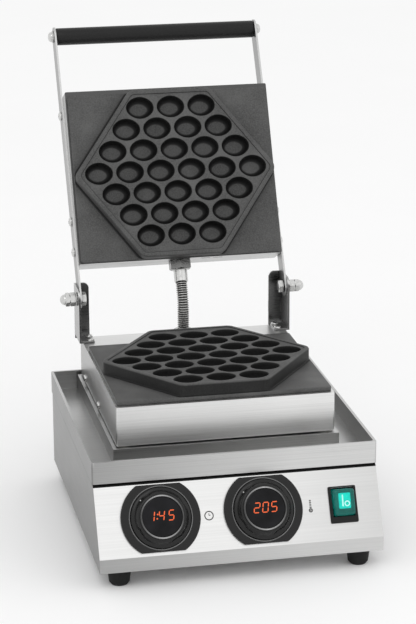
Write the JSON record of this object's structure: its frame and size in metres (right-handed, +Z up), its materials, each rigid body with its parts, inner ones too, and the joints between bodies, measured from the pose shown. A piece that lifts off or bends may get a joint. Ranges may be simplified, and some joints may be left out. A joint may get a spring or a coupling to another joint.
{
  "type": "bubble waffle maker",
  "caption": "Table-top bubble waffle iron: two hexagonal cast plates of oval cells, arm-hinged lid, drip tray, sloped control panel.",
  "frame": {"origin": "centre of the whole machine's footprint box, on the surface that its feet stand on", "axes": "+Z up, +X to the right seen from the control panel, +Y to the back; the lid is open at rest"},
  "size_m": [0.2896, 0.4732, 0.4767],
  "materials": {
    "brushed_steel": "brushed sheet",
    "tray_steel": "brushed sheet",
    "cast_plate": "dark non-stick coating",
    "bright_steel": "bright fasteners",
    "conduit_steel": "ribbed steel hose",
    "bracket_steel": "brushed plate",
    "black_plastic": "fine moulded satin",
    "knob_plastic": "satin gloss",
    "window": "glossy dark window",
    "rubber": "matt",
    "rocker_green": "lit green",
    "heater": "dull oxidised",
    "ceramic": "off-white ceramic",
    "circuit": "printed board",
    "grip": "fine moulded satin"
  },
  "bodies": {
    "base": {"body_housing": "brushed_steel", "bottom_plate": "brushed_steel", "bottom_screws": "bright_steel", "foot_front_left": "rubber", "foot_front_right": "rubber", "foot_rear_left": "rubber", "foot_rear_right": "rubber", "foot_screws": "bright_steel", "cable_gland": "black_plastic", "terminal_block": "ceramic", "control_board": "circuit", "drip_tray": "tray_steel", "insulating_washers": "ceramic", "washer_screws": "bright_steel", "lower_housing": "brushed_steel", "housing_screws": "bright_steel", "lower_baking_plate": "cast_plate", "lower_plate_screws": "bright_steel", "lower_heating_element": "heater", "lower_clamp_bars": "bracket_steel", "lower_temperature_probe": "bright_steel", "timer_escutcheon": "knob_plastic", "timer_display": "circuit", "timer_window": "window", "temperature_escutcheon": "knob_plastic", "temperature_display": "circuit", "temperature_window": "window", "switch_bezel": "black_plastic", "hinge_bracket_left": "bracket_steel", "hinge_bracket_right": "bracket_steel", "bracket_screws": "bright_steel", "pivot_bolts": "bright_steel", "pivot_washers": "bright_steel", "pivot_nuts": "bright_steel", "dome_nuts": "bright_steel", "conduit_deck_fitting": "bright_steel", "conduit_hose": "conduit_steel"},
    "lid": {"arm_left": "bracket_steel", "arm_right": "bracket_steel", "arm_screws": "bright_steel", "handle_grip": "grip", "handle_rod": "bright_steel", "handle_nuts": "bright_steel", "lid_housing": "brushed_steel", "upper_baking_plate": "cast_plate", "upper_plate_screws": "bright_steel", "upper_heating_element": "heater", "upper_clamp_bars": "bracket_steel", "upper_temperature_probe": "bright_steel", "conduit_lid_fitting": "bright_steel"},
    "timer_knob_body": {"timer_knob": "knob_plastic"},
    "temperature_knob_body": {"temperature_knob": "knob_plastic"},
    "rocker_body": {"power_rocker": "rocker_green"}
  },
  "joints": [
    {"name": "lid_hinge", "type": "hinge", "parent": "base", "child": "lid", "pos_m": [0, 0.07128, 0.2074], "axis": [1, 0, 0], "range_deg": [0, 115.5], "deforming": ["conduit_hose"]},
    {"name": "timer_knob_turn", "type": "hinge", "parent": "base", "child": "timer_knob_body", "pos_m": [-0.0799, -0.22253, 0.06774], "axis": [0, -0.8828, 0.4697], "continuous": true},
    {"name": "temperature_knob_turn", "type": "hinge", "parent": "base", "child": "temperature_knob_body", "pos_m": [0.0238, -0.22253, 0.06774], "axis": [0, -0.8828, 0.4697], "continuous": true},
    {"name": "power_rocker_tilt", "type": "hinge", "parent": "base", "child": "rocker_body", "pos_m": [0.1057, -0.2149, 0.06504], "axis": [1, 0, 0], "range_deg": [-16, 0]}
  ]
}
